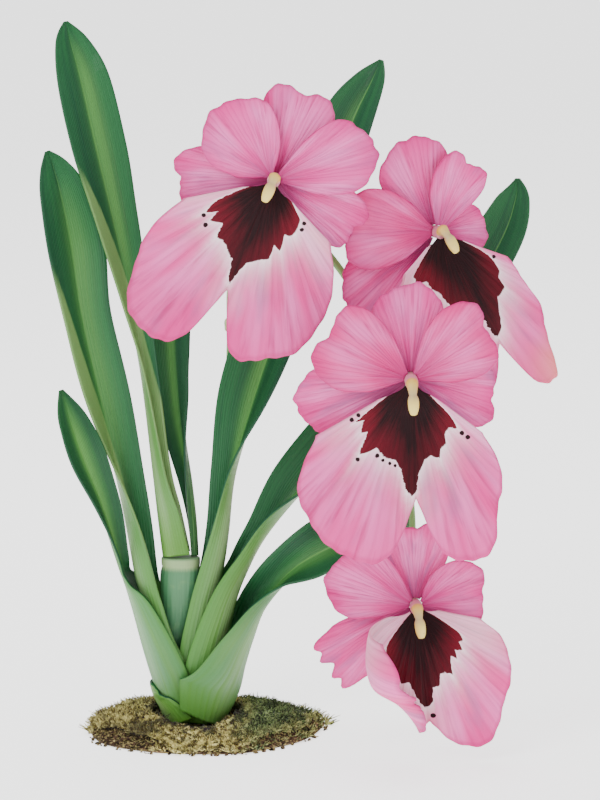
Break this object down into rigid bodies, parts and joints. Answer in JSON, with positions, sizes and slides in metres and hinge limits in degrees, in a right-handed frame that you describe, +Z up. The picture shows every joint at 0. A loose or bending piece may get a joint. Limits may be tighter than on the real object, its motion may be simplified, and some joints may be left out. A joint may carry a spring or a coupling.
{
  "type": "pansy orchid plant",
  "caption": "Pansy orchid in a low mound of moss and soil: strap leaves with clasping bases, a green bulb, and an arching spray of pink blooms with white lips marked in maroon.",
  "frame": {"origin": "middle of the mound's flat underside", "axes": "+Z up along the plant, -Y the side that the blooms face, +X to the right of someone who looks at the blooms"},
  "size_m": [0.1851, 0.1081, 0.2602],
  "materials": {
    "soil": "matte, crumbly",
    "moss": "matte, fibrous",
    "bulb": "satin",
    "leaf": "satin",
    "sheath": "satin",
    "stalk": "satin",
    "sepal": "soft, finely sparkling",
    "petal": "soft, finely sparkling",
    "lip": "soft",
    "column": "waxy"
  },
  "bodies": {
    "root": {"soil_mound": "soil", "moss": "moss", "pseudobulb": "bulb", "leaf_apical_tall": "leaf", "leaf_apical_short": "leaf", "leaf_left_inner": "leaf", "leaf_left_outer": "leaf", "leaf_right_upright": "leaf", "leaf_right_leaning": "leaf", "leaf_right_arching": "leaf", "basal_sheath": "sheath", "flower_spike": "stalk", "bloom_1_dorsal_sepal": "sepal", "bloom_1_left_sepal": "sepal", "bloom_1_right_sepal": "sepal", "bloom_1_left_petal": "petal", "bloom_1_right_petal": "petal", "bloom_1_lip": "lip", "bloom_1_column": "column", "bloom_2_dorsal_sepal": "sepal", "bloom_2_left_sepal": "sepal", "bloom_2_right_sepal": "sepal", "bloom_2_left_petal": "petal", "bloom_2_right_petal": "petal", "bloom_2_lip": "lip", "bloom_2_column": "column", "bloom_3_dorsal_sepal": "sepal", "bloom_3_left_sepal": "sepal", "bloom_3_right_sepal": "sepal", "bloom_3_left_petal": "petal", "bloom_3_right_petal": "petal", "bloom_3_lip": "lip", "bloom_3_column": "column", "bloom_4_dorsal_sepal": "sepal", "bloom_4_left_sepal": "sepal", "bloom_4_right_sepal": "sepal", "bloom_4_left_petal": "petal", "bloom_4_right_petal": "petal", "bloom_4_lip": "lip", "bloom_4_column": "column"}
  },
  "joints": []
}
